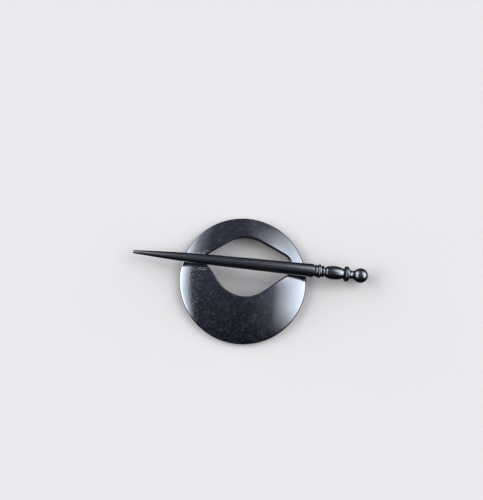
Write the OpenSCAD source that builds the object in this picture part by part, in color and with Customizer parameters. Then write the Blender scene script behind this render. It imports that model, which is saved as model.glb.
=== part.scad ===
// Hair slide of dark stained hardwood: a round domed disc with an almond shaped
// eye through it, and a turned stick that lies across the disc over the eye's two
// ends. The stick's shaft is bowed, so both of its ends bend down beside the dome.
// The disc stands on its rim, dome up. The origin is the middle of the plane it
// stands on, +Z goes up through the dome, +X runs towards the stick's head.

/* [Disc] */
// Diameter of the disc at its rim
disc_d = 85; // [70:0.5:100]
// Radius of the dome's outer face
dome_r = 90; // [70:1:100]
// Thickness of the wood, square to the dome
wall = 4; // [3.6:0.1:5]
// Height of the rim's straight side over the plane it stands on
rim_h = 3.5; // [3.2:0.1:3.8]
// Radius of the rounding where the dome meets the side
rim_round = 1.6; // [0.5:0.1:2]
// Radius of the rounding at the foot of the side
foot_round = 0.7; // [0.3:0.1:0.8]

/* [Eye] */
// Diameter of the eye at its wide middle
eye_d = 40.5; // [30:0.5:42]
// Place of the eye's middle to the right of the disc's centre
eye_x = 1.3; // [-3:0.1:3]
// Place of the eye's middle above the disc's centre
eye_y = 8.4; // [0:0.1:10]
// Reach of the left end to the left of the eye's middle
left_x = 23.3; // [20:0.1:25]
// Rise of the left end above the eye's middle
left_y = 5.5; // [0:0.1:8]
// Radius of the left end
left_r = 4; // [2:0.1:6]
// Reach of the right end to the right of the eye's middle
right_x = 22.6; // [20:0.1:25]
// Rise of the right end above the eye's middle
right_y = 1.1; // [0:0.1:4]
// Radius of the right end
right_r = 8.4; // [3:0.1:10]

/* [Stick shaft] */
// Diameter of the rounded tip
tip_d = 2.2; // [1.5:0.1:3]
// Length of the quick taper behind the tip
taper_l = 12; // [8:1:20]
// Diameter at the end of the quick taper
taper_d = 3.6; // [3:0.05:5]
// Length of the bend from the quick taper to the slow one
blend_l = 45; // [20:1:60]
// Length from the tip to the shoulder under the head
shaft_l = 122.2; // [100:0.1:140]
// Diameter of the shaft at the shoulder
shaft_d = 8.8; // [8:0.1:10]
// Radius of the arc that the shaft is bowed to
bow_r = 300; // [200:5:500]

/* [Stick head] */
// Diameter in the grooves between the rings
groove_d = 6.6; // [5.5:0.1:7]
// Diameter of the three rings, from the shaft outwards
ring_d = [8.2, 9.3, 7.8]; // [7.5:0.1:9.5]
// Width of the three rings
ring_w = [1.7, 2, 1.8]; // [1.5:0.1:2.5]
// Width of the groove between the shoulder and the first ring
first_gap = 1; // [0.4:0.1:1.5]
// Width of the groove between two rings
ring_gap = 0.4; // [0.2:0.05:0.6]
// Diameter in the deep grooves on both sides of the barrel
deep_d = 5.8; // [4.5:0.1:6]
// Width of a deep groove
deep_w = 0.8; // [0.4:0.1:1]
// Length of the barrel
barrel_l = 12.8; // [10:0.1:15]
// Diameter of the barrel where it is widest
barrel_d = 9; // [8:0.1:9.5]
// Length from the barrel's start to its widest place
barrel_swell = 6.3; // [4:0.1:8]
// Radius of the barrel's outline, seen from the side
barrel_r = 16; // [14:0.5:24]
// Radius of the rounding at the barrel's start
barrel_round = 1.8; // [0.5:0.1:2.2]
// Diameter of the collar
collar_d = 10.2; // [9:0.1:11]
// Thickness of the collar
collar_t = 2.5; // [2:0.1:3]
// Radius of the rounding on the collar's edges
collar_round = 0.8; // [0.3:0.1:1]
// Diameter of the lip where the collar runs into the neck
lip_d = 8.6; // [7.8:0.1:8.8]
// Radius of the hollow between the collar and the ball
neck_r = 3.2; // [2.5:0.1:4]
// Diameter of the neck where it is thinnest
neck_d = 5; // [4:0.1:5.6]
// Diameter of the ball
ball_d = 9.8; // [8.5:0.1:10.5]

/* [Stick place] */
// Length of the shaft from its tip to the top of its bow
stick_reach = 75.2; // [60:0.1:80]
// Place of the bow's top above the disc's centre, in plan
stick_y = 10.1; // [8:0.05:12]
// Height of the stick's axis at the bow's top over the plane the disc stands on
stick_z = 14.2; // [14:0.05:20]
// Turn of the stick in plan, head towards the bottom, in degrees
stick_turn = 6.05; // [0:0.05:8]
// Lean of the bow's top towards the eye's wide side, in degrees
stick_lean = 9.5; // [0:0.5:12]

/* [Hidden] */
$fn = 128;

// Disc: its sphere's centre lies under the standing plane
disc_r = disc_d / 2;
dome_z = rim_h - sqrt(pow(dome_r, 2) - pow(disc_r, 2));
dome_top = dome_z + dome_r;
round_x = disc_r - rim_round;
round_z = dome_z + sqrt(pow(dome_r - rim_round, 2) - pow(round_x, 2));
round_out = dome_r / (dome_r - rim_round);
past = 1;
flank_out = 0.02;

// Shaft: radius at the length s, two straight tapers with a parabola between
tip_r = tip_d / 2;
quick_slope = (taper_d / 2 - tip_r) / (taper_l - tip_r);
slow_slope = (shaft_d / 2 - taper_d / 2 - quick_slope * blend_l / 2)
    / (shaft_l - taper_l - blend_l / 2);
function blend_r(t) = taper_d / 2 + quick_slope * blend_l * t
    + (slow_slope - quick_slope) * blend_l * t * t / 2;
function shaft_r(s) =
    s < taper_l ? tip_r + quick_slope * (s - tip_r)
    : s < taper_l + blend_l ? blend_r((s - taper_l) / blend_l)
    : shaft_d / 2 - slow_slope * (shaft_l - s);

// Shaft: its rings, as a length and a radius each, over the round tip and the taper
tip_steps = 4;
shaft_steps = 24;
sides = 32;
rings = concat(
    [for (i = [1 : tip_steps])
        [tip_r * (1 - cos(90 * i / tip_steps)), tip_r * sin(90 * i / tip_steps)]],
    [for (i = [1 : shaft_steps])
        let (s = tip_r + (shaft_l - tip_r) * i / shaft_steps) [s, shaft_r(s)]]
);

// Shaft: number of the point at step j round ring i
function skin(i, j) = 1 + i * sides + j % sides;

// Bow: angle along the arc at the length s, and a point beside the arc there, at the
// radius r and turned by t from +Y over the top
function bow_angle(s) = (s - stick_reach) / bow_r * 180 / PI;
function bow_point(s, r, t) =
    let (a = bow_angle(s), out = bow_r + r * sin(t))
    [out * sin(a), r * cos(t), out * cos(a) - bow_r];

// Head: where each ring and member starts, measured from the tip
ring_count = len(ring_d);
function ring_from(i) =
    i == 0 ? shaft_l + first_gap : ring_from(i - 1) + ring_w[i - 1] + ring_gap;
rings_end = ring_from(ring_count - 1) + ring_w[ring_count - 1];
head_in = 1;
barrel_from = rings_end + deep_w;
barrel_to = barrel_from + barrel_l;
collar_from = barrel_to + deep_w;
collar_to = collar_from + collar_t;

// Barrel: centre of its long arc, of the rounding at its start, and where they touch
arc_at = [barrel_d / 2 - barrel_r, barrel_from + barrel_swell];
inner_r = barrel_r - barrel_round;
corner_at = [
    arc_at[0] + sqrt(pow(inner_r, 2) - pow(barrel_swell - barrel_round, 2)),
    barrel_from + barrel_round
];
meet_at = arc_at + (corner_at - arc_at) * barrel_r / inner_r;

// Neck: its hollow meets the lip at the collar, and touches the ball
ball_r = ball_d / 2;
hollow_r = neck_d / 2 + neck_r;
neck_at = collar_to + sqrt(pow(neck_r, 2) - pow(hollow_r - lip_d / 2, 2));
ball_at = neck_at + sqrt(pow(ball_r + neck_r, 2) - pow(hollow_r, 2));
touch_at = ball_at - (ball_at - neck_at) * ball_r / (ball_r + neck_r);

// Cross section of the disc's wall on one side of its axis
module wall_section() {
    difference() {
        intersection() {
            translate([0, dome_z]) circle(r = dome_r);
            square([disc_r, dome_top + past]);
        }
        translate([0, dome_z]) circle(r = dome_r - wall);
        difference() {
            polygon([
                [round_x, round_z],
                [round_x * round_out, dome_z + (round_z - dome_z) * round_out],
                [disc_r + past, round_z + rim_round + past],
                [disc_r + past, round_z]
            ]);
            translate([round_x, round_z]) circle(r = rim_round);
        }
        difference() {
            translate([disc_r - foot_round, -past])
                square([foot_round + past, foot_round + past]);
            translate([disc_r - foot_round, foot_round]) circle(r = foot_round);
        }
    }
}

// Straight sided piece between a circle of radius a at the origin and one of radius b
// at p, whose sides run just outside both circles and so meet them cleanly
module flanks(a, b, p) {
    away = norm(p);
    turn = atan2(p[1], p[0]);
    lean = acos((a - b) / away);
    near = a + flank_out;
    far = b + flank_out;
    rotate(turn)
        polygon([
            [0, 0],
            [near * cos(lean), near * sin(lean)],
            [away + far * cos(lean), far * sin(lean)],
            [away, 0],
            [away + far * cos(lean), -far * sin(lean)],
            [near * cos(lean), -near * sin(lean)]
        ]);
}

module eye_outline() {
    circle(d = eye_d);
    for (end = [[left_r, [-left_x, left_y]], [right_r, [right_x, right_y]]]) {
        flanks(eye_d / 2, end[0], end[1]);
        translate(end[1]) circle(r = end[0]);
    }
}

module disc() {
    color([0.10, 0.10, 0.12])
        difference() {
            rotate_extrude() wall_section();
            translate([eye_x, eye_y, -past])
                linear_extrude(height = dome_top + 2 * past) eye_outline();
        }
}

// Bowed and tapered shaft, a skin over its rings from the tip's pole to the shoulder
module shaft() {
    count = len(rings);
    polyhedron(
        points = concat(
            [bow_point(0, 0, 0)],
            [for (ring = rings) for (j = [0 : sides - 1])
                bow_point(ring[0], ring[1], 360 * j / sides)]
        ),
        faces = concat(
            [for (j = [0 : sides - 1]) [0, skin(0, j), skin(0, j + 1)]],
            [for (i = [1 : count - 1]) for (j = [0 : sides - 1])
                [skin(i - 1, j), skin(i, j), skin(i, j + 1)]],
            [for (i = [1 : count - 1]) for (j = [0 : sides - 1])
                [skin(i - 1, j), skin(i, j + 1), skin(i - 1, j + 1)]],
            [[for (j = [sides - 1 : -1 : 0]) skin(count - 1, j)]]
        )
    );
}

// Half outline of ring i, a half round bead on the core
module ring_outline(i) {
    half = ring_w[i] / 2;
    translate([0, ring_from(i)]) square([ring_d[i] / 2 - half, ring_w[i]]);
    translate([ring_d[i] / 2 - half, ring_from(i) + half]) circle(r = half);
}

module barrel_outline() {
    intersection() {
        translate(arc_at) circle(r = barrel_r);
        translate([0, meet_at[1]]) square([barrel_d, barrel_to - meet_at[1]]);
    }
    polygon([
        [0, barrel_from], [corner_at[0], barrel_from], corner_at, meet_at,
        [0, meet_at[1]]
    ]);
    translate(corner_at) circle(r = barrel_round);
}

module collar_outline() {
    flat_r = collar_d / 2 - collar_round;
    translate([0, collar_from]) square([flat_r, collar_t]);
    translate([0, collar_from + collar_round])
        square([collar_d / 2, collar_t - 2 * collar_round]);
    for (at = [collar_from + collar_round, collar_to - collar_round])
        translate([flat_r, at]) circle(r = collar_round);
}

// Half outline of the neck's hollow and the ball that it touches
module ball_outline() {
    difference() {
        translate([0, collar_to - collar_round])
            square([lip_d / 2, touch_at - collar_to + collar_round]);
        translate([hollow_r, neck_at]) circle(r = neck_r);
    }
    intersection() {
        translate([0, ball_at]) circle(r = ball_r);
        translate([0, ball_at - ball_r]) square([ball_r, ball_d]);
    }
}

// Half outline of the head, which starts a little inside the shaft
module head_outline() {
    translate([0, shaft_l - head_in])
        square([groove_d / 2, rings_end - shaft_l + head_in]);
    for (i = [0 : ring_count - 1]) ring_outline(i);
    translate([0, rings_end]) square([deep_d / 2, collar_from - rings_end]);
    barrel_outline();
    collar_outline();
    ball_outline();
}

module hair_stick() {
    color([0.06, 0.06, 0.07])
        translate([0, stick_y, stick_z])
            rotate([stick_lean, 0, -stick_turn]) {
                shaft();
                translate(bow_point(shaft_l, 0, 0))
                    rotate([0, 90 + bow_angle(shaft_l), 0])
                        translate([0, 0, -shaft_l])
                            rotate_extrude() head_outline();
            }
}

disc();
hair_stick();
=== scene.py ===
"""A domed hair slide of ebonised hardwood and its turned, bowed stick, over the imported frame.

Lengths are in metres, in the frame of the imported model: the disc stands on z = 0 with
its dome up, and the stick's head lies towards +X.
"""

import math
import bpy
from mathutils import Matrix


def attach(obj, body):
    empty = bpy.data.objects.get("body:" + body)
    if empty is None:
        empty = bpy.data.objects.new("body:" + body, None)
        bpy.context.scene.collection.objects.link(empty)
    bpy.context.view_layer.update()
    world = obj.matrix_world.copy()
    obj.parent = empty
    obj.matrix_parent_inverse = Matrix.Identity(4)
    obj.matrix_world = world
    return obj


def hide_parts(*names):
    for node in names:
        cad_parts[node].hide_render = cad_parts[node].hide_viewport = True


bl_info = {
    "name": "Wooden Hair Slide",
    "version": (1, 0, 0),
    "blender": (4, 5, 0),
    "location": "3D Viewport > Sidebar > Hair Slide",
    "description": "Builds a domed wooden hair slide and the turned stick that closes it",
    "category": "Add Mesh",
}

from collections import namedtuple

import bpy
import numpy as np
from bpy.props import FloatProperty, FloatVectorProperty, PointerProperty
from mathutils import Matrix, Vector

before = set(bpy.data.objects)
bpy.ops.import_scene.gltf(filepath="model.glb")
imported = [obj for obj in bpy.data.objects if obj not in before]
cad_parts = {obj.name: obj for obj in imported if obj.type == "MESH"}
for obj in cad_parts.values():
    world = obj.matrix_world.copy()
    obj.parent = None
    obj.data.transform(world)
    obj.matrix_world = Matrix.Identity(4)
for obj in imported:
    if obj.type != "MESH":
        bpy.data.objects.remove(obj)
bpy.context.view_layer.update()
MM = 0.001

HeadPlaces = namedtuple("HeadPlaces", "rings rings_end barrel collar collar_end neck ball touch")
SoftBox = namedtuple("SoftBox", "inner outer lower upper radiance")


def linear(hex_colour):
    """Turns an sRGB hex colour such as #c0ffee into the linear values that shaders use."""
    raw = [int(hex_colour[i:i + 2], 16) / 255 for i in (1, 3, 5)]
    return [c / 12.92 if c <= 0.04045 else ((c + 0.055) / 1.055) ** 2.4 for c in raw]


def length(name, description, default_mm, **limits):
    """A length property whose default is given in millimetres."""
    return FloatProperty(name=name, description=description, default=default_mm * MM,
                         unit="LENGTH", subtype="DISTANCE", precision=5, min=0, **limits)


def colour(name, description, hex_colour):
    """A colour property whose default is given as an sRGB hex value."""
    return FloatVectorProperty(name=name, description=description, size=3, min=0, max=1,
                               default=linear(hex_colour), subtype="COLOR")


class SlideDiscSettings(bpy.types.PropertyGroup):
    """Sizes and colour of the domed disc."""

    rim_radius: length("Rim radius", "Radius of the disc at its rim", 42.5)
    dome_radius: length("Dome radius", "Radius of the dome's outer face", 90)
    wall: length("Wall", "Thickness of the wood, square to the dome", 4)
    rim_height: length("Rim height", "Height at which the dome's sphere meets the side", 3.5)
    rim_rounding: length("Rim rounding", "Radius between the dome and the side", 1.6)
    foot_rounding: length("Foot rounding", "Radius between the side and the foot", 0.7)
    eye_x: length("Eye X", "Place of the eye's middle along X", 1.3)
    eye_y: length("Eye Y", "Place of the eye's middle along Y", 8.4)
    eye_radius: length("Eye radius", "Radius of the eye's wide middle", 20.25)
    left_reach: length("Left reach", "Way from the eye's middle to its left end", 23.3)
    left_rise: length("Left rise", "Rise of the eye's left end over its middle", 5.5)
    left_radius: length("Left radius", "Radius of the eye's left end", 4)
    right_reach: length("Right reach", "Way from the eye's middle to its right end", 22.6)
    right_rise: length("Right rise", "Rise of the eye's right end over its middle", 1.1)
    right_radius: length("Right radius", "Radius of the eye's right end", 8.4)
    upper_edge: length("Upper edge", "Rounding of the eye's edge on the dome", 0.9)
    lower_edge: length("Lower edge", "Rounding of the eye's edge underneath", 0.6)
    wood: colour("Wood", "Colour of the stained wood", "#0b0b0d")


class HairStickSettings(bpy.types.PropertyGroup):
    """Sizes, place and colour of the turned stick."""

    tip_radius: length("Tip radius", "Radius of the rounded tip", 1.1)
    taper_length: length("Taper length", "Length of the quick taper", 12)
    taper_radius: length("Taper radius", "Radius at the end of the quick taper", 1.8)
    blend_length: length("Blend length", "Bend from the quick taper to the slow one", 45)
    shaft_length: length("Shaft length", "Length from the tip to the shoulder", 122.2)
    shaft_radius: length("Shaft radius", "Radius of the shaft at the shoulder", 4.4)
    bow_radius: length("Bow radius", "Radius of the arc that the shaft is bowed to", 300)
    groove_radius: length("Groove radius", "Radius between the rings", 3.3)
    ring_radii: FloatVectorProperty(
        name="Ring radii", description="Radius of the three rings, from the shaft on",
        default=(4.1 * MM, 4.65 * MM, 3.9 * MM), unit="LENGTH", precision=5)
    ring_widths: FloatVectorProperty(
        name="Ring widths", description="Width of the three rings, from the shaft on",
        default=(1.7 * MM, 2 * MM, 1.8 * MM), unit="LENGTH", precision=5)
    first_gap: length("First gap", "Groove between the shoulder and the first ring", 1)
    ring_gap: length("Ring gap", "Groove between two rings", 0.4)
    deep_radius: length("Deep radius", "Radius of the deep groove beside the barrel", 2.9)
    deep_width: length("Deep width", "Width of a deep groove", 0.8)
    barrel_length: length("Barrel length", "Length of the barrel", 12.8)
    barrel_radius: length("Barrel radius", "Radius of the barrel at its widest", 4.5)
    barrel_swell: length("Barrel swell", "From the barrel's start to its widest", 6.3)
    barrel_curve: length("Barrel curve", "Radius of the barrel's outline", 16)
    barrel_rounding: length("Barrel rounding", "Rounding at the barrel's start", 1.8)
    collar_radius: length("Collar radius", "Radius of the collar", 5.1)
    collar_length: length("Collar length", "Thickness of the collar", 2.5)
    collar_rounding: length("Collar rounding", "Rounding of the collar's edges", 0.8)
    neck_hollow: length("Neck hollow", "Radius of the hollow before the ball", 3.2)
    neck_radius: length("Neck radius", "Radius of the neck at its thinnest", 2.5)
    lip_radius: length("Lip radius", "Radius where the collar runs into the neck", 4.3)
    ball_radius: length("Ball radius", "Radius of the ball", 4.9)
    edge_softness: length("Edge softness", "How far sanding has softened the edges", 0.11)
    reach: length("Reach", "From the tip to the top of the bow", 75.2)
    place_y: length("Place Y", "Place of the bow's top along Y", 10.1)
    place_z: length("Place Z", "Height of the bow's top over the floor", 14.2)
    turn: FloatProperty(name="Turn", description="Turn of the stick in plan",
                        default=math.radians(6.05), unit="ROTATION", subtype="ANGLE")
    lean: FloatProperty(name="Lean", description="Lean of the bow's top to the eye's wide side",
                        default=math.radians(9.5), unit="ROTATION", subtype="ANGLE")
    wood: colour("Wood", "Colour of the stained wood", "#08080a")


class StageSettings(bpy.types.PropertyGroup):
    """Floor, soft boxes, room and camera."""

    floor: colour("Floor", "Colour of the floor", "#9f9790")
    box_tint: colour("Box tint", "Colour of the soft boxes' light", "#e7f2ff")
    room_tint: colour("Room tint", "Colour of the room's light", "#d6d2ff")
    left_box: FloatProperty(name="Left box", description="Radiance of the left soft box",
                            default=16.0, min=0)
    right_box: FloatProperty(name="Right box", description="Radiance of the right soft box "
                             "at its outer edge", default=13.0, min=0)
    room: FloatProperty(name="Room", description="Radiance of the room overhead",
                        default=0.30, min=0)
    pitch: FloatProperty(name="Pitch", description="Tilt of the view from straight above",
                         default=math.radians(8.5), unit="ROTATION", subtype="ANGLE")
    yaw: FloatProperty(name="Yaw", description="Turn of the view to the side",
                       default=math.radians(3), unit="ROTATION", subtype="ANGLE")
    distance: length("Distance", "Distance of the camera", 1000)
    aim_up: length("Aim up", "Way from the rim's middle up the view to its centre", 20.57)
    aim_left: length("Aim left", "Way from the rim's middle left to the view's centre", 1.015)
    lens: FloatProperty(name="Lens", description="Focal length for a film 36 mm high",
                        default=107.5, min=1, unit="CAMERA")


def eye_outline(s, columns):
    """Plan points and outward normals of the eye's outline, and the polar angles they lie at.

    The eye is the hull of three circles. Along a normal at the angle a, the hull reaches
    h(a), the most of centre . normal + radius over the circles. A ray at the polar angle p
    leaves it at the least of h(a) / cos(p - a), and the a of that least is the normal there.
    Normals that face the ray by less than 0.2 are left out.
    The columns stand at even steps of length plus turning, so that round ends get more.
    """
    least_facing = 0.2
    radian_as_length = 3 * MM
    centres = np.array([[0, 0], [-s.left_reach, s.left_rise], [s.right_reach, s.right_rise]])
    radii = np.array([s.eye_radius, s.left_radius, s.right_radius])
    a = np.linspace(-math.pi, math.pi, 3600, endpoint=False)
    normals = np.stack([np.cos(a), np.sin(a)], axis=1)
    reach = (normals @ centres.T + radii).max(axis=1)

    def leave(p):
        # How far rays reach to leave the hull, and the angles of the normals there, made
        # finer by a parabola through the least sample and its two neighbours
        facing = np.cos(p[:, None] - a[None])
        out = np.where(facing > least_facing, reach / np.maximum(facing, least_facing), np.inf)
        best = out.argmin(axis=1)
        near = (best[:, None] + np.array([-1, 0, 1])) % len(a)
        low, mid, high = np.take_along_axis(out, near, axis=1).T
        shift = 0.5 * (low - high) / np.maximum(low - 2 * mid + high, 1e-12)
        return mid, a[best] + np.clip(shift, -0.5, 0.5) * (a[1] - a[0])

    fine = np.linspace(-math.pi, math.pi, 2881)
    out, turn = leave(fine)
    steps = np.hypot(*np.diff(out * np.stack([np.cos(fine), np.sin(fine)]), axis=1))
    steps += radian_as_length * np.abs(np.diff(np.unwrap(turn)))
    walked = np.concatenate([[0], np.cumsum(steps)])
    p = np.interp(np.linspace(0, walked[-1], columns, endpoint=False), walked, fine)
    out, turn = leave(p)
    plan = out[:, None] * np.stack([np.cos(p), np.sin(p)], axis=1)
    plan += np.array([s.eye_x, s.eye_y])
    return plan, np.stack([np.cos(turn), np.sin(turn)], axis=1), p


def sphere_height(plan, radius, centre_z):
    """Height of a sphere over plan points, centred on the disc's axis."""
    return centre_z + np.sqrt(radius ** 2 - (plan ** 2).sum(axis=-1))


def edge_rounding(edge, out, radius, ball, centre_z, side, count):
    """Rows of points over the rounding between the eye's wall and a sphere of the disc.

    In a section square to the eye's outline the sphere is nearly a straight line, whose
    slope is that of the sphere at the edge. The arc's centre lies the radius outside the
    wall and at the radius from that line, below the dome (side 1) or above the underside
    (side -1). The last rows are moved by the small miss between the line and the sphere.
    """
    slope = -(edge * out).sum(axis=1) / (sphere_height(edge, ball, centre_z) - centre_z)
    tilt = np.arctan(slope)
    middle = sphere_height(edge, ball, centre_z) + slope * radius
    middle -= side * radius * np.sqrt(1 + slope ** 2)
    t = np.linspace(0, 1, count)[:, None]
    angle = math.pi - side * t * (math.pi / 2 - side * tilt)
    away = radius * (1 + np.cos(angle))
    plan = edge + away[..., None] * out
    height = middle + radius * np.sin(angle)
    miss = sphere_height(plan[-1], ball, centre_z) - height[-1]
    return np.concatenate([plan, (height + miss * t ** 2)[..., None]], axis=-1)


def rays_to_circle(start, p, radius):
    """Plan points where rays from a start at the polar angles p meet a circle about the axis.

    Past the point where a ray is nearest to the axis, it meets the circle after the root of
    the circle's squared radius less that nearest distance squared.
    """
    ray = np.stack([np.cos(p), np.sin(p)], axis=1)
    along = ray @ start
    return start + (np.sqrt(along ** 2 + radius ** 2 - start @ start) - along)[:, None] * ray


def rim_section(s, round_z, touch_height, flat):
    """Radii and heights of the rim's section, from the dome to the foot's inner edge.

    An arc of the rim's rounding leads from the dome down to an upright side, and a smaller
    one from there to the foot. The foot is flat to just before its inner edge at the radius
    flat, where the last row rises a little and starts the underside.
    """
    round_x = s.rim_radius - s.rim_rounding
    angle = np.linspace(math.asin(touch_height / s.dome_radius), 0, 14)
    rim = [round_x + s.rim_rounding * np.cos(angle), round_z + s.rim_rounding * np.sin(angle)]
    side_z = np.linspace(round_z, s.foot_rounding, 6)[1:-1]
    side = [np.full(len(side_z), s.rim_radius), side_z]
    angle = np.linspace(0, -math.pi / 2, 9)
    foot = [s.rim_radius - s.foot_rounding + s.foot_rounding * np.cos(angle),
            s.foot_rounding + s.foot_rounding * np.sin(angle)]
    before_edge = np.array([0.9, 0.3, 0.12, 0.02]) * MM
    ring = [flat + before_edge, np.array([0, 0, 0, 0.01]) * MM]
    return np.concatenate([rim, side, foot, ring], axis=1)


def disc_surface(s, columns=448):
    """Points of the disc's whole skin, rows along its wall's section by columns round it.

    Each column starts at the eye's wall, goes up over its rounded edge, out over the dome's
    sphere in a straight line in plan, round the rim and the foot, and back underneath. The
    roundings are circular arcs that touch both of their neighbours.
    """
    centre_z = s.rim_height - math.sqrt(s.dome_radius ** 2 - s.rim_radius ** 2)
    inner = s.dome_radius - s.wall
    edge, out, p = eye_outline(s, columns)
    upper = edge_rounding(edge, out, s.upper_edge, s.dome_radius, centre_z, side=1, count=12)
    lower = edge_rounding(edge, out, s.lower_edge, inner, centre_z, side=-1, count=8)

    # The eye's wall, from the lower rounding up to the upper one
    t = np.linspace(0, 1, 8)[1:-1, None, None]
    rows = [lower[0][None] * (1 - t) + upper[0][None] * t, upper]

    # The dome, with its rows closer together near the eye and the rim
    round_x = s.rim_radius - s.rim_rounding
    round_z = centre_z + math.sqrt((s.dome_radius - s.rim_rounding) ** 2 - round_x ** 2)
    touch = round_x * s.dome_radius / (s.dome_radius - s.rim_rounding)
    rim_plan = rays_to_circle(np.array([s.eye_x, s.eye_y]), p, touch)
    t = np.linspace(0, 1, 56)[1:-1, None, None]
    t = t - 0.06 * np.sin(2 * math.pi * t)
    plan = upper[-1, :, :2] * (1 - t) + rim_plan * t
    rows.append(np.concatenate(
        [plan, sphere_height(plan, s.dome_radius, centre_z)[..., None]], axis=-1))

    # The rim, the side and the foot, turned about the disc's axis
    spoke = rim_plan / np.linalg.norm(rim_plan, axis=1)[:, None]
    flat = math.sqrt(inner ** 2 - centre_z ** 2)
    touch_height = sphere_height(rim_plan[:1], s.dome_radius, 0)[0]
    section = rim_section(s, round_z, touch_height, flat)
    ring = section[0][:, None, None] * spoke[None]
    height = np.broadcast_to(section[1][:, None, None], ring.shape[:2] + (1,))
    rows.append(np.concatenate([ring, height], axis=-1))

    # The underside, with two rows close to the foot that keep its inner edge sharp
    t = np.linspace(0, 1, 30)[1:-1]
    t = np.concatenate([[0.004, 0.012], t])[:, None, None]
    plan = spoke * (flat - 0.02 * MM) * (1 - t) + lower[-1, :, :2] * t
    rows.append(np.concatenate([plan, sphere_height(plan, inner, centre_z)[..., None]], axis=-1))
    rows.append(lower[::-1])
    return np.concatenate(rows)


def shaft_radius(s, x):
    """Radius of the shaft at the length x.

    It is a quick taper and a slow one, and between them a parabola that starts with the
    slope of the first and ends with that of the second.
    """
    quick = (s.taper_radius - s.tip_radius) / (s.taper_length - s.tip_radius)
    slow = (s.shaft_radius - s.taper_radius - quick * s.blend_length / 2)
    slow /= s.shaft_length - s.taper_length - s.blend_length / 2
    t = np.clip((x - s.taper_length) / s.blend_length, 0, 1)
    bend = s.taper_radius + s.blend_length * (quick * t + (slow - quick) * t * t / 2)
    return np.where(x < s.taper_length, s.tip_radius + quick * (x - s.tip_radius),
                    bend + slow * np.maximum(x - s.taper_length - s.blend_length, 0))


def head_places(s):
    """Lengths along the stick at which the members of its head start, and their middles.

    The members follow each other from the shoulder on. The neck's hollow is an arc that
    starts at the lip, is thinnest at the neck and touches the ball's circle.
    """
    starts = s.shaft_length + s.first_gap + np.concatenate(
        [[0], np.cumsum(np.array(s.ring_widths) + s.ring_gap)])
    rings_end = starts[-1] - s.ring_gap
    barrel = rings_end + s.deep_width
    collar = barrel + s.barrel_length + s.deep_width
    collar_end = collar + s.collar_length
    hollow = s.neck_radius + s.neck_hollow
    neck = collar_end + math.sqrt(s.neck_hollow ** 2 - (hollow - s.lip_radius) ** 2)
    ball = neck + math.sqrt((s.ball_radius + s.neck_hollow) ** 2 - hollow ** 2)
    touch = ball - (ball - neck) * s.ball_radius / (s.ball_radius + s.neck_hollow)
    return HeadPlaces(starts, rings_end, barrel, collar, collar_end, neck, ball, touch)


def arc(x, centre, radius, top):
    """The upper half of a circle whose top is at the given radius, and 0 beside it."""
    off = np.abs(x - centre)
    height = np.sqrt(np.maximum(radius ** 2 - off ** 2, 0))
    return np.where(off <= radius, top - radius + height, 0)


def between(x, low, high, value):
    """The value from low to high, and 0 elsewhere."""
    return np.where((x >= low) & (x <= high), value, 0)


def head_radius(s, at, x):
    """Radius of the stick's head at the lengths x, before sanding.

    Each ring, the barrel and each edge of the collar is the upper part of a circle, and a
    smaller circle that touches the barrel's rounds its start. The radius at a length is the
    largest of all members there.
    """
    corner = s.barrel_rounding
    lead = s.barrel_swell - corner
    inner = s.barrel_curve - corner
    meet = at.barrel + s.barrel_swell - lead * s.barrel_curve / inner
    corner_top = s.barrel_radius - inner + math.sqrt(inner ** 2 - lead ** 2)
    swell = arc(x, at.barrel + s.barrel_swell, s.barrel_curve, s.barrel_radius)
    members = [between(x, 0, s.shaft_length, shaft_radius(s, x)),
               between(x, s.shaft_length, at.rings_end, s.groove_radius),
               between(x, at.rings_end, at.collar, s.deep_radius),
               between(x, meet, at.barrel + s.barrel_length, swell),
               between(x, at.barrel, meet, arc(x, at.barrel + corner, corner, corner_top))]
    for start, width, radius in zip(at.rings, s.ring_widths, s.ring_radii):
        members.append(arc(x, start + width / 2, width / 2, radius))
    inset = s.collar_rounding
    members.append(between(x, at.collar + inset, at.collar_end - inset, s.collar_radius))
    for edge in (at.collar + inset, at.collar_end - inset):
        members.append(arc(x, edge, inset, s.collar_radius))
    off = np.clip(x - at.neck, -s.neck_hollow, s.neck_hollow)
    hollow = s.neck_radius + s.neck_hollow - np.sqrt(s.neck_hollow ** 2 - off ** 2)
    members.append(between(x, at.collar_end, at.touch, hollow))
    ball = arc(x, at.ball, s.ball_radius, s.ball_radius)
    members.append(between(x, at.touch, x[-1], ball))
    return np.maximum.reduce(members)


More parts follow.
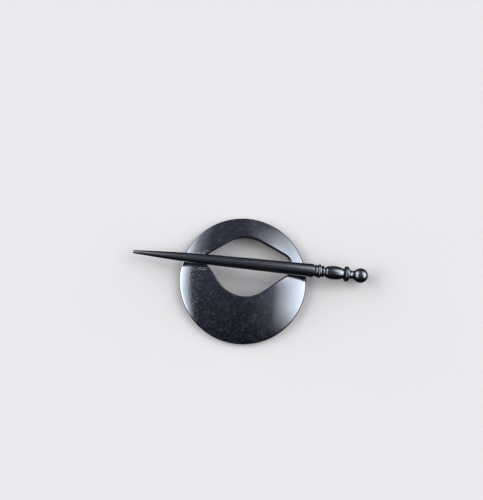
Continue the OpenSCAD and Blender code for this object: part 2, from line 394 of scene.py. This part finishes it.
def stick_profile(s):
    """Length and radius of the stick's outline from the tip's pole to the ball's pole.

    The head is softened by a narrow bell curve, as sanding softens the edges, and its rows
    stand at even steps of length plus turning. The tip and the ball are arcs at even steps
    of angle.
    """
    step = 0.01 * MM
    margin = 2 * MM
    radian_as_length = 0.35 * MM
    at = head_places(s)
    x = np.arange(s.shaft_length - margin, at.touch + margin, step)
    bell = np.arange(-0.6 * MM, 0.605 * MM, step)
    bell = np.exp(-0.5 * (bell / s.edge_softness) ** 2)
    soft = np.convolve(head_radius(s, at, x), bell / bell.sum(), mode="same")
    keep = (x > s.shaft_length - margin / 2) & (x < at.touch)
    x, soft = x[keep], soft[keep]
    heading = np.arctan2(np.diff(soft), step)
    walked = np.hypot(step, np.diff(soft))
    walked[1:] += radian_as_length * np.abs(np.diff(heading))
    walked = np.concatenate([[0], np.cumsum(walked)])
    even = np.interp(np.linspace(0, walked[-1], 330), walked, x)
    head = np.stack([even, np.interp(even, x, soft)])

    angle = np.linspace(0, math.pi / 2, 10)[:-1]
    tip = s.tip_radius * np.stack([1 - np.cos(angle), np.sin(angle)])
    x = np.linspace(s.tip_radius, s.shaft_length - margin / 2, 110)[:-1]
    shaft = np.stack([x, shaft_radius(s, x)])
    angle = np.linspace(math.asin((at.touch - at.ball) / s.ball_radius), math.pi / 2, 40)
    knob = np.stack([at.ball + s.ball_radius * np.sin(angle), s.ball_radius * np.cos(angle)])
    return np.concatenate([tip, shaft, head, knob], axis=1)


def groove_shelter(along, radius):
    """How far each row of the stick is sheltered in a groove, from 0 to 1.

    A groove's wall is the highest radius within the reach before the row or after it. The
    row's depth is counted from the lower of its two walls, and a deeper row is more
    sheltered, from none at the shallow depth to wholly at the deep one.
    """
    reach = 1.6 * MM
    shallow, deep = 0.15 * MM, 0.45 * MM
    ahead = along - along[:, None]
    before, after = (np.where((side > 0) & (side < reach), radius, 0).max(axis=1)
                     for side in (-ahead, ahead))
    depth = np.minimum(before, after) - radius
    return np.clip((depth - shallow) / (deep - shallow), 0, 1)


def stick_surface(s, sides=96):
    """Points of the stick, rows along it by columns round it, and where each lay when turned.

    The last value says how far each row is sheltered in a groove.

    The outline is turned about a centre line: an arc in the bow's plane up to the shoulder
    and its tangent from there on. The line is then leant about X, turned about Z and moved
    to its place over the disc.
    """
    along, radius = stick_profile(s)
    bend = (np.minimum(along, s.shaft_length) - s.reach) / s.bow_radius
    past = np.maximum(along - s.shaft_length, 0)
    centre = np.stack([s.bow_radius * np.sin(bend) + past * np.cos(bend), 0 * along,
                       s.bow_radius * (np.cos(bend) - 1) - past * np.sin(bend)], axis=1)
    up = np.stack([np.sin(bend), 0 * bend, np.cos(bend)], axis=1)
    turn = np.linspace(2 * math.pi, 0, sides, endpoint=False)
    across = radius[:, None] * np.cos(turn)
    over = radius[:, None] * np.sin(turn)
    points = centre[:, None] + across[..., None] * np.array([0, 1, 0])
    points = points + over[..., None] * up[:, None]
    place = Matrix.Rotation(-s.turn, 3, "Z") @ Matrix.Rotation(s.lean, 3, "X")
    points = points @ np.array(place).T + np.array([0, s.place_y, s.place_z])
    turned = np.stack([np.broadcast_to(along[:, None], across.shape), across, over], axis=-1)
    return points, turned, groove_shelter(along, radius)


def mesh_from_grid(name, points, wrap_rows):
    """Makes an object from a grid of points, closed round its columns.

    With wrap_rows the last row joins the first. Otherwise the first and last rows are single
    points, and the faces next to them are triangles.
    """
    rows, columns = points.shape[:2]
    i = np.arange(rows if wrap_rows else rows - 1)[:, None]
    j = np.arange(columns)[None]
    corners = [(i, j), (i + 1, j), (i + 1, j + 1), (i, j + 1)]
    quads = np.stack([(a % rows) * columns + b % columns for a, b in corners], axis=-1)
    mesh = bpy.data.meshes.new(name)
    if wrap_rows:
        used = points.reshape(-1, 3)
        faces = quads.reshape(-1, 4).tolist()
    else:
        used = points.reshape(-1, 3)[columns - 1:-(columns - 1)]
        quads = np.clip(quads - (columns - 1), 0, len(used) - 1)
        faces = quads[1:-1].reshape(-1, 4).tolist()
        faces += quads[0][:, [0, 1, 2]].tolist()
        faces += quads[-1][:, [0, 1, 3]].tolist()
    mesh.from_pydata(used.tolist(), [], faces)
    mesh.polygons.foreach_set("use_smooth", np.ones(len(mesh.polygons), dtype=bool))
    mesh.validate()
    mesh.update()
    piece = bpy.data.objects.new(name, mesh)
    bpy.context.scene.collection.objects.link(piece)
    return piece


def mark_as_turned(mesh, turned, sheltered):
    """Stores where the stick's points lay when it was turned, and how sheltered they are.

    The UV map along holds the way along the stick and round it, each from 0 to 1. The poles
    are single points of the mesh, so only one column of the first and last rows is used.
    """
    rows, columns = turned.shape[:2]
    used = slice(columns - 1, -(columns - 1))
    place = mesh.attributes.new("turned", "FLOAT_VECTOR", "POINT")
    place.data.foreach_set("vector", turned.reshape(-1, 3)[used].astype(np.float32).ravel())
    shelter = mesh.attributes.new("sheltered", "FLOAT", "POINT")
    shelter.data.foreach_set("value", np.repeat(sheltered, columns)[used].astype(np.float32))
    corner = np.empty(len(mesh.loops), dtype=np.int32)
    mesh.loops.foreach_get("vertex_index", corner)
    row = np.repeat(np.arange(rows), columns)[used][corner]
    side = np.tile(np.arange(columns), rows)[used][corner]
    way = turned[:, 0, 0] / turned[-1, 0, 0]
    uv = np.stack([way[row], side / columns], axis=1).astype(np.float32)
    mesh.uv_layers.new(name="along").data.foreach_set("uv", uv.ravel())


def add_node(tree, kind, inputs=None, **settings):
    """Adds a node with its settings. An input is a plain value or a socket to link from.

    Sockets that share a name are given by number. In a mix of colours the factor is input 0,
    the colours are inputs 6 and 7, and the result is output 2.
    """
    node = tree.nodes.new(kind)
    for name, value in settings.items():
        setattr(node, name, value)
    for name, value in (inputs or {}).items():
        if isinstance(value, bpy.types.NodeSocket):
            tree.links.new(value, node.inputs[name])
        else:
            node.inputs[name].default_value = value
    return node


def new_material(name):
    """A new material without nodes, and its tree."""
    material = bpy.data.materials.new(name)
    material.use_nodes = True
    material.node_tree.nodes.clear()
    return material, material.node_tree


def grained_wood(tree, where, wood, width, reach):
    """The wood's fibres as a value, and the wood's colour shaded by them.

    The fibres are a noise of the given width, stretched along X to the given reach. Where it
    rises from 0.3 to 0.75, the colour is multiplied by a factor that rises from 0.6 to 1.6.
    """
    at = add_node(tree, "ShaderNodeMapping", {
        "Vector": where, "Scale": (1 / reach, 1 / width, 1 / width)})
    fibre = add_node(tree, "ShaderNodeTexNoise", {
        "Vector": at.outputs[0], "Scale": 1, "Detail": 3, "Roughness": 0.6}).outputs[0]
    shade = add_node(tree, "ShaderNodeMapRange", {
        "Value": fibre, "From Min": 0.3, "From Max": 0.75, "To Min": 0.6, "To Max": 1.6})
    tint = add_node(tree, "ShaderNodeMix", {
        0: 1.0, 6: (*wood, 1), 7: shade.outputs[0]}, data_type="RGBA", blend_type="MULTIPLY")
    return fibre, tint.outputs[2]


def scratches(tree, where, turns, width, reach, least):
    """Fine straight scratches in several directions, as a value that is 1 inside them.

    Each direction is a noise of the given width, stretched along it to the given reach and
    moved, so that no two are alike. From the least value on it counts as a scratch, which is
    full at 0.08 over that. The highest of all directions is kept.
    """
    total = None
    for turn in turns:
        at = add_node(tree, "ShaderNodeMapping", {
            "Vector": where, "Location": (turn, 2 * turn, 0), "Rotation": (0, 0, turn),
            "Scale": (1 / reach, 1 / width, 0.5 / width)})
        noise = add_node(tree, "ShaderNodeTexNoise", {
            "Vector": at.outputs[0], "Scale": 1, "Detail": 1, "Roughness": 0.5})
        line = add_node(tree, "ShaderNodeMapRange", {
            "Value": noise.outputs[0], "From Min": least, "From Max": least + 0.08})
        if total is None:
            total = line.outputs[0]
        else:
            total = add_node(tree, "ShaderNodeMath", {0: total, 1: line.outputs[0]},
                             operation="MAXIMUM").outputs[0]
    return total


def ebonised_disc_material(wood):
    """Maple or pear wood, stained black, oiled and buffed on the lathe with hard wax.

    To the eye it is nearly black, with clear but uneven reflections and a faint pale bloom.
    The haze and 0.8 of the patches add up to a cloud. From 0.93 to 1.18 of it, and in the
    scratches, a pale film of dried oil covers the wood. The roughness rises from 0.07 to 0.12
    with the patches, and by 0.09 in a scratch. The bump is the haze, less half a scratch.
    """
    material, tree = new_material("Ebonised hardwood, oiled and buffed")
    where = add_node(tree, "ShaderNodeTexCoord").outputs["Object"]
    # Fibres run along X. Real ones are ten times finer, and are drawn coarser to show.
    _, tint = grained_wood(tree, where, wood, width=0.3125 * MM, reach=8.333 * MM)
    # Uneven uptake of stain and oil, in patches of 5 mm and a haze of 2 mm
    patch = add_node(tree, "ShaderNodeTexNoise", {
        "Vector": where, "Scale": 1 / (5 * MM), "Detail": 3, "Roughness": 0.6}).outputs[0]
    haze = add_node(tree, "ShaderNodeTexNoise", {
        "Vector": where, "Scale": 1 / (1.923 * MM), "Detail": 3, "Roughness": 0.62}).outputs[0]
    # Handling scratches are 0.1 mm wide, and are drawn three times as wide to show
    lines = scratches(tree, where, turns=(0.3, 1.2, 2.2, 2.9), width=0.3 * MM, reach=3 * MM,
                      least=0.66)
    cloud = add_node(tree, "ShaderNodeMath", {0: patch, 1: 0.8, 2: haze},
                     operation="MULTIPLY_ADD")
    dull = add_node(tree, "ShaderNodeMapRange", {
        "Value": cloud.outputs[0], "From Min": 0.93, "From Max": 1.18})
    worn = add_node(tree, "ShaderNodeMath", {0: dull.outputs[0], 1: lines}, operation="MAXIMUM")
    # The film has a violet cast in the low patches and a bluish one in the high ones
    cast = add_node(tree, "ShaderNodeMapRange", {
        "Value": patch, "From Min": 0.42, "From Max": 0.58})
    film = add_node(tree, "ShaderNodeMix", {
        0: cast.outputs[0], 6: (*linear("#2a2832"), 1), 7: (*linear("#22262d"), 1)},
        data_type="RGBA")
    pale = add_node(tree, "ShaderNodeMix", {
        0: worn.outputs[0], 6: tint, 7: film.outputs[2]}, data_type="RGBA")
    rough = add_node(tree, "ShaderNodeMapRange", {
        "Value": patch, "From Min": 0.3, "From Max": 0.7, "To Min": 0.07, "To Max": 0.12})
    scuffed = add_node(tree, "ShaderNodeMath", {0: lines, 1: 0.09, 2: rough.outputs[0]},
                       operation="MULTIPLY_ADD")
    height = add_node(tree, "ShaderNodeMath", {0: lines, 1: -0.5, 2: haze},
                      operation="MULTIPLY_ADD")
    bump = add_node(tree, "ShaderNodeBump", {
        "Height": height.outputs[0], "Strength": 0.5, "Distance": 0.025 * MM}).outputs[0]
    shader = add_node(tree, "ShaderNodeBsdfPrincipled", {
        "Base Color": pale.outputs[2], "Roughness": scuffed.outputs[0], "IOR": 1.5,
        "Coat Weight": 1.0, "Coat Roughness": 0.07, "Coat IOR": 1.5,
        "Normal": bump, "Coat Normal": bump})
    add_node(tree, "ShaderNodeOutputMaterial", {"Surface": shader.outputs[0]})
    return material


def ebonised_stick_material(wood):
    """The same wood, turned between centres and polished while it spun.

    To the eye it is blacker, with soft lines of light along it and dull grooves.
    In a groove the coat falls from 1 to 0.1 and the roughness rises from 0.28 to 0.75 as the
    row is more sheltered. The bump is the fibres and 0.6 of the lathe's rings.
    """
    material, tree = new_material("Ebonised hardwood, turned and polished")
    where = add_node(tree, "ShaderNodeAttribute", attribute_name="turned").outputs["Vector"]
    # Fibres run along the stick. Real ones are ten times finer, and are drawn coarser to show.
    fibre, tint = grained_wood(tree, where, wood, width=0.3333 * MM, reach=10 * MM)
    # Lathe sanding leaves rings about 0.25 mm apart, which change little round the stick
    rings_at = add_node(tree, "ShaderNodeMapping", {
        "Vector": where, "Scale": (1 / (0.25 * MM), 1 / (6.667 * MM), 1 / (6.667 * MM))})
    rings = add_node(tree, "ShaderNodeTexNoise", {
        "Vector": rings_at.outputs[0], "Scale": 1, "Detail": 2, "Roughness": 0.5})
    height = add_node(tree, "ShaderNodeMath", {0: rings.outputs[0], 1: 0.6, 2: fibre},
                      operation="MULTIPLY_ADD")
    bump = add_node(tree, "ShaderNodeBump", {
        "Height": height.outputs[0], "Strength": 0.25, "Distance": 0.01 * MM}).outputs[0]
    # Sanding rings spread a reflection along the stick, under a thin glossy coat
    tangent = add_node(tree, "ShaderNodeTangent", direction_type="UV_MAP", uv_map="along")
    # The grooves are drawn duller and darker: the deeper a row lies in one, the thinner its coat
    # and the rougher its wood
    sheltered = add_node(tree, "ShaderNodeAttribute", attribute_name="sheltered").outputs["Fac"]
    groove_coat = add_node(tree, "ShaderNodeMapRange", {
        "Value": sheltered, "To Min": 1.0, "To Max": 0.1})
    rough = add_node(tree, "ShaderNodeMapRange", {
        "Value": sheltered, "To Min": 0.28, "To Max": 0.75})
    shader = add_node(tree, "ShaderNodeBsdfPrincipled", {
        "Base Color": tint, "Roughness": rough.outputs[0], "IOR": 1.5, "Anisotropic": 0.7,
        "Coat Weight": groove_coat.outputs[0], "Coat Roughness": 0.11, "Coat IOR": 1.5,
        "Normal": bump, "Coat Normal": bump, "Tangent": tangent.outputs[0]})
    add_node(tree, "ShaderNodeOutputMaterial", {"Surface": shader.outputs[0]})
    return material


class SLIDE_OT_disc(bpy.types.Operator):
    """Builds the domed disc and its ebonised wood"""

    bl_idname = "slide.disc"
    bl_label = "Disc"

    def execute(self, context):
        s = context.scene.slide_disc
        piece = mesh_from_grid("domed_disc", disc_surface(s), True)
        piece.data.materials.append(ebonised_disc_material(s.wood))
        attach(piece, "disc")
        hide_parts("disc")
        return {"FINISHED"}


class SLIDE_OT_stick(bpy.types.Operator):
    """Builds the turned, bowed stick and its polished wood"""

    bl_idname = "slide.stick"
    bl_label = "Stick"

    def execute(self, context):
        s = context.scene.slide_stick
        points, turned, sheltered = stick_surface(s)
        piece = mesh_from_grid("turned_stick", points, False)
        mark_as_turned(piece.data, turned, sheltered)
        piece.data.materials.append(ebonised_stick_material(s.wood))
        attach(piece, "stick")
        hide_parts("hair_stick")
        return {"FINISHED"}


def soft_boxes(s):
    """The room's soft boxes, each with four edges and its radiance.

    The inner and outer edges are angles across the floor, the lower and upper ones angles
    towards +Y, in degrees. A box is dark at the first angle of an edge and full at the second.
    """
    return [
        # The left box, and a faint one past its upper end for the disc's upper left
        SoftBox((-44.5, -56.5), (-112, -98), (-30, -13), (60, 24), s.left_box),
        SoftBox((-32, -46), (-88, -82), (20, 36), (70, 50), 1.3),
        # The right box
        SoftBox((29.5, 60), (88, 80), (-36, -13), (54, 12), s.right_box),
        # A narrow strip for the stick's tip and the roundings of its head
        SoftBox((-20, -36), (-54, -44), (21, 25), (30, 26), 24.0),
        # Two that overlap, for the disc's upper right and the top of the stick's head
        SoftBox((14, 28), (58, 40), (8, 22), (56, 36), 2.2),
        SoftBox((19, 27), (50, 38), (5, 10), (40, 30), 4.2),
        # A wide faint one for the soft inner side of the right box's reflection
        SoftBox((7, 28), (88, 80), (-43, -12), (92, 40), 0.55),
    ]


def soft_box_glow(tree, across, along, box):
    """The radiance that comes from a soft box in each direction.

    It is the box's radiance times a ramp at each of its four edges, two over the angle
    across the floor and two over the angle towards +Y.
    """
    glow = None
    edges = ((across, box.inner), (across, box.outer), (along, box.lower), (along, box.upper))
    for angle, (dark, full) in edges:
        falling = full < dark
        low, high = sorted((math.radians(dark), math.radians(full)))
        ramp = add_node(tree, "ShaderNodeMapRange", {
            "Value": angle, "From Min": low, "From Max": high,
            "To Min": float(falling), "To Max": float(not falling)})
        if glow is None:
            glow = ramp.outputs[0]
        else:
            glow = add_node(tree, "ShaderNodeMath", {0: glow, 1: ramp.outputs[0]},
                            operation="MULTIPLY").outputs[0]
    return add_node(tree, "ShaderNodeMath", {0: glow, 1: box.radiance},
                    operation="MULTIPLY").outputs[0]


def studio_world(s):
    """A dim room with soft boxes, as light from far away.

    Each direction is split in its angle across the floor, from straight up towards +X, and
    its angle towards +Y. The room's light falls to a twentieth from 20 degrees towards +Y to
    48 degrees towards -Y, and to 0.15 of itself from just over the horizon to just under it.
    """
    world = bpy.data.worlds.new("studio")
    world.use_nodes = True
    tree = world.node_tree
    tree.nodes.clear()
    where = add_node(tree, "ShaderNodeTexCoord")
    part = add_node(tree, "ShaderNodeSeparateXYZ", {0: where.outputs["Generated"]}).outputs
    across = add_node(tree, "ShaderNodeMath", {0: part["X"], 1: part["Z"]},
                      operation="ARCTAN2").outputs[0]
    along = add_node(tree, "ShaderNodeMath", {0: part["Y"]}, operation="ARCSINE").outputs[0]
    glows = [soft_box_glow(tree, across, along, box) for box in soft_boxes(s)]
    total = glows[0]
    for glow in glows[1:]:
        total = add_node(tree, "ShaderNodeMath", {0: total, 1: glow},
                         operation="ADD").outputs[0]
    lit = add_node(tree, "ShaderNodeBackground", {
        "Color": (*s.box_tint, 1), "Strength": total})
    fade = add_node(tree, "ShaderNodeMapRange", {
        "Value": along, "From Min": math.radians(-48), "From Max": math.radians(20),
        "To Min": 0.05, "To Max": 1.0})
    ground = add_node(tree, "ShaderNodeMapRange", {
        "Value": part["Z"], "From Min": -0.1, "From Max": 0.15, "To Min": 0.15,
        "To Max": 1.0})
    dim = add_node(tree, "ShaderNodeMath", {0: fade.outputs[0], 1: ground.outputs[0]},
                   operation="MULTIPLY")
    dim = add_node(tree, "ShaderNodeMath", {0: dim.outputs[0], 1: s.room},
                   operation="MULTIPLY")
    room = add_node(tree, "ShaderNodeBackground", {
        "Color": (*s.room_tint, 1), "Strength": dim.outputs[0]})
    both = add_node(tree, "ShaderNodeAddShader", {0: lit.outputs[0], 1: room.outputs[0]})
    add_node(tree, "ShaderNodeOutputWorld", {0: both.outputs[0]})
    return world


def paper_floor(tint):
    """A wide flat floor of matt paper, as one square."""
    half = 3
    mesh = bpy.data.meshes.new("floor")
    corners = [(-half, -half, 0), (half, -half, 0), (half, half, 0), (-half, half, 0)]
    mesh.from_pydata(corners, [], [(0, 1, 2, 3)])
    floor = bpy.data.objects.new("floor", mesh)
    bpy.context.scene.collection.objects.link(floor)
    material, tree = new_material("Matt paper")
    paper = add_node(tree, "ShaderNodeBsdfPrincipled", {
        "Base Color": (*tint, 1), "Roughness": 0.9, "Specular IOR Level": 0.1})
    add_node(tree, "ShaderNodeOutputMaterial", {"Surface": paper.outputs[0]})
    mesh.materials.append(material)
    return floor


def view_camera(s, rim_height):
    """A camera that sees the disc from the side of the photo.

    It stands at the given distance from the rim's middle, on a line that is tilted by the
    pitch from straight above and turned by the yaw. It looks past the rim's middle, at the
    point that the two aims give.
    """
    back = Vector((-math.sin(s.yaw), -math.sin(s.pitch) * math.cos(s.yaw),
                   math.cos(s.pitch) * math.cos(s.yaw)))
    up = Vector((0, math.cos(s.pitch), math.sin(s.pitch)))
    right = up.cross(back)
    up = back.cross(right)
    rim = Vector((0, 0, rim_height))
    eye = rim + s.distance * back
    aim = rim + s.aim_up * up - s.aim_left * right
    facing = (eye - aim).normalized()
    right = up.cross(facing).normalized()
    data = bpy.data.cameras.new("camera")
    data.sensor_fit = "VERTICAL"
    data.sensor_height = 36
    data.lens = s.lens
    data.clip_start = 10 * MM
    camera = bpy.data.objects.new("camera", data)
    bpy.context.scene.collection.objects.link(camera)
    camera.matrix_world = Matrix.Translation(eye) @ Matrix(
        (right, facing.cross(right), facing)).transposed().to_4x4()
    return camera


class SLIDE_OT_stage(bpy.types.Operator):
    """Builds the pale floor, the soft light of the room and the camera"""

    bl_idname = "slide.stage"
    bl_label = "Stage"

    def execute(self, context):
        s = context.scene.slide_stage
        scene = context.scene
        floor = paper_floor(s.floor)

        # The wood mirrors only the room, because a pale floor would light its dark edges
        floor.visible_glossy = False
        scene.world = studio_world(s)
        scene.camera = view_camera(s, scene.slide_disc.rim_height)
        scene.view_settings.view_transform = "Standard"
        return {"FINISHED"}


class SLIDE_PT_panel(bpy.types.Panel):
    """Lists the parts of the hair slide, with their sizes and colours."""

    bl_idname = "SLIDE_PT_panel"
    bl_label = "Hair Slide"
    bl_space_type = "VIEW_3D"
    bl_region_type = "UI"
    bl_category = "Hair Slide"

    def draw(self, context):
        for operator, settings in (("slide.disc", context.scene.slide_disc),
                                   ("slide.stick", context.scene.slide_stick),
                                   ("slide.stage", context.scene.slide_stage)):
            box = self.layout.box()
            box.operator(operator)
            for name in settings.__annotations__:
                box.prop(settings, name)


CLASSES = (SlideDiscSettings, HairStickSettings, StageSettings,
           SLIDE_OT_disc, SLIDE_OT_stick, SLIDE_OT_stage, SLIDE_PT_panel)


def register():
    """Registers the classes and gives the scene their settings."""
    for cls in CLASSES:
        bpy.utils.register_class(cls)
    bpy.types.Scene.slide_disc = PointerProperty(type=SlideDiscSettings)
    bpy.types.Scene.slide_stick = PointerProperty(type=HairStickSettings)
    bpy.types.Scene.slide_stage = PointerProperty(type=StageSettings)


def unregister():
    """Takes the settings from the scene and removes the classes."""
    del bpy.types.Scene.slide_stage
    del bpy.types.Scene.slide_stick
    del bpy.types.Scene.slide_disc
    for cls in reversed(CLASSES):
        bpy.utils.unregister_class(cls)


def main():
    register()
    bpy.ops.slide.disc()
    bpy.ops.slide.stick()
    bpy.ops.slide.stage()
    bpy.context.view_layer.update()


if __name__ == "__main__":
    main()
